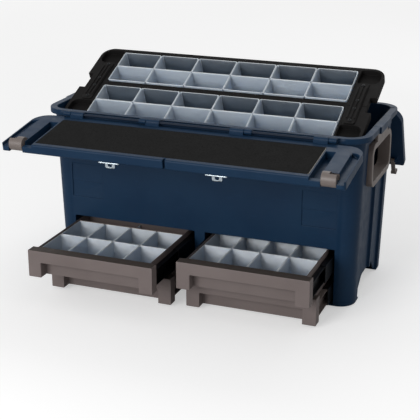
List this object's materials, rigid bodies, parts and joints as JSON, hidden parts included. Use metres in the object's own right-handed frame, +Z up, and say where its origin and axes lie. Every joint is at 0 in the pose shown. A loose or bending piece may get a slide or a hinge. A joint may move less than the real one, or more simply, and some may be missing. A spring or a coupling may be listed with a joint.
{
  "type": "compartment storage box",
  "caption": "Moulded storage box with two fold-back lids, a tilting frame of bin trays over a tool well, carry openings in the ends and pull-out drawers with loose bins.",
  "frame": {"origin": "on the floor under the middle of the box, level with the undersides of the rubber feet", "axes": "+X to the viewer's right along the long side, +Y to the rear, away from the drawer fronts, +Z up"},
  "size_m": [0.621, 0.5163, 0.3907],
  "materials": {
    "navy_plastic": "fine-grained moulded polypropylene, satin",
    "black_plastic": "moulded polypropylene, satin",
    "grey_plastic": "moulded polypropylene, satin",
    "warm_grey_plastic": "satin moulded plastic",
    "bin_plastic": "translucent moulded polypropylene, glossy",
    "mat_foam": "textured mat",
    "steel": "pressed, bright",
    "runner_steel": "blackened",
    "foot_rubber": "matt"
  },
  "bodies": {
    "box": {"box_shell": "navy_plastic", "well_floor": "black_plastic", "rubber_feet": "foot_rubber", "handle_liner_left": "warm_grey_plastic", "handle_liner_right": "warm_grey_plastic", "hinge_pin_front": "steel", "hinge_pin_rear": "steel", "tray_pivot_pins": "steel", "runner_outer_upper_left": "runner_steel", "runner_outer_upper_right": "runner_steel", "runner_outer_lower_left": "runner_steel", "runner_outer_lower_right": "runner_steel"},
    "front_lid": {"front_lid_shell": "navy_plastic", "front_lid_mat": "mat_foam", "keeper_cap_left": "warm_grey_plastic", "keeper_cap_right": "warm_grey_plastic", "padlock_staple_left": "steel", "padlock_staple_right": "steel", "staple_rivets": "steel"},
    "rear_lid": {"rear_lid_shell": "navy_plastic", "rear_lid_mat": "mat_foam", "clip_pins": "steel", "clip_brackets": "navy_plastic"},
    "clip_left": {"catch_clip_left": "warm_grey_plastic"},
    "clip_right": {"catch_clip_right": "warm_grey_plastic"},
    "tray_frame": {"tray_front": "black_plastic", "tray_rear": "black_plastic", "link_bar_left": "black_plastic", "link_bar_right": "black_plastic", "link_bar_screws": "steel", "bins_front_tray_front": "bin_plastic", "bins_front_tray_rear": "bin_plastic", "bins_rear_tray_front": "bin_plastic", "bins_rear_tray_rear": "bin_plastic"},
    "drawer_upper_left_body": {"drawer_upper_left": "grey_plastic", "divider_upper_left": "bin_plastic", "runner_inner_upper_left": "runner_steel", "bins_upper_left_front": "bin_plastic", "bins_upper_left_rear": "bin_plastic"},
    "runner_upper_left_body": {"runner_middle_upper_left": "runner_steel"},
    "drawer_upper_right_body": {"drawer_upper_right": "grey_plastic", "divider_upper_right": "bin_plastic", "runner_inner_upper_right": "runner_steel", "bins_upper_right_front": "bin_plastic", "bins_upper_right_rear": "bin_plastic"},
    "runner_upper_right_body": {"runner_middle_upper_right": "runner_steel"},
    "drawer_lower_left_body": {"drawer_lower_left": "grey_plastic", "divider_lower_left": "black_plastic", "runner_inner_lower_left": "runner_steel"},
    "runner_lower_left_body": {"runner_middle_lower_left": "runner_steel"},
    "drawer_lower_right_body": {"drawer_lower_right": "grey_plastic", "divider_lower_right": "black_plastic", "runner_inner_lower_right": "runner_steel"},
    "runner_lower_right_body": {"runner_middle_lower_right": "runner_steel"}
  },
  "joints": [
    {"name": "front_lid_hinge", "type": "hinge", "parent": "box", "child": "front_lid", "pos_m": [0, -0.144, 0.315], "axis": [-1, 0, 0], "range_deg": [0, 188.3]},
    {"name": "rear_lid_hinge", "type": "hinge", "parent": "box", "child": "rear_lid", "pos_m": [0, 0.144, 0.315], "axis": [1, 0, 0], "range_deg": [0, 243.5]},
    {"name": "tray_frame_pivot", "type": "hinge", "parent": "box", "child": "tray_frame", "pos_m": [0, -0.0992, 0.2983], "axis": [-1, 0, 0], "range_deg": [0, 24]},
    {"name": "catch_clip_left_pivot", "type": "hinge", "parent": "rear_lid", "child": "clip_left", "pos_m": [0, 0.17803, 0.19341], "axis": [-1, 0, 0], "range_deg": [0, 80]},
    {"name": "catch_clip_right_pivot", "type": "hinge", "parent": "rear_lid", "child": "clip_right", "pos_m": [0, 0.17803, 0.19341], "axis": [-1, 0, 0], "range_deg": [0, 80]},
    {"name": "drawer_upper_left_slide", "type": "slide", "parent": "box", "child": "drawer_upper_left_body", "axis": [0, -1, 0], "range_m": [-0.19, 0.006]},
    {"name": "runner_upper_left_slide", "type": "slide", "parent": "box", "child": "runner_upper_left_body", "axis": [0, -1, 0], "range_m": [-0.095, 0.003]},
    {"name": "drawer_upper_right_slide", "type": "slide", "parent": "box", "child": "drawer_upper_right_body", "axis": [0, -1, 0], "range_m": [-0.146, 0.05]},
    {"name": "runner_upper_right_slide", "type": "slide", "parent": "box", "child": "runner_upper_right_body", "axis": [0, -1, 0], "range_m": [-0.073, 0.025]},
    {"name": "drawer_lower_left_slide", "type": "slide", "parent": "box", "child": "drawer_lower_left_body", "axis": [0, -1, 0], "range_m": [-0.11, 0.086]},
    {"name": "runner_lower_left_slide", "type": "slide", "parent": "box", "child": "runner_lower_left_body", "axis": [0, -1, 0], "range_m": [-0.055, 0.043]},
    {"name": "drawer_lower_right_slide", "type": "slide", "parent": "box", "child": "drawer_lower_right_body", "axis": [0, -1, 0], "range_m": [-0.101, 0.095]},
    {"name": "runner_lower_right_slide", "type": "slide", "parent": "box", "child": "runner_lower_right_body", "axis": [0, -1, 0], "range_m": [-0.0505, 0.0475]}
  ],
  "couplings": [
    {"joint": "tray_frame_pivot", "follows": "front_lid_hinge", "ratio": 0.12745},
    {"joint": "rear_lid_hinge", "follows": "front_lid_hinge", "ratio": 1.2931},
    {"joint": "runner_upper_left_slide", "follows": "drawer_upper_left_slide", "ratio": 0.5},
    {"joint": "runner_upper_right_slide", "follows": "drawer_upper_right_slide", "ratio": 0.5},
    {"joint": "runner_lower_left_slide", "follows": "drawer_lower_left_slide", "ratio": 0.5},
    {"joint": "runner_lower_right_slide", "follows": "drawer_lower_right_slide", "ratio": 0.5}
  ]
}
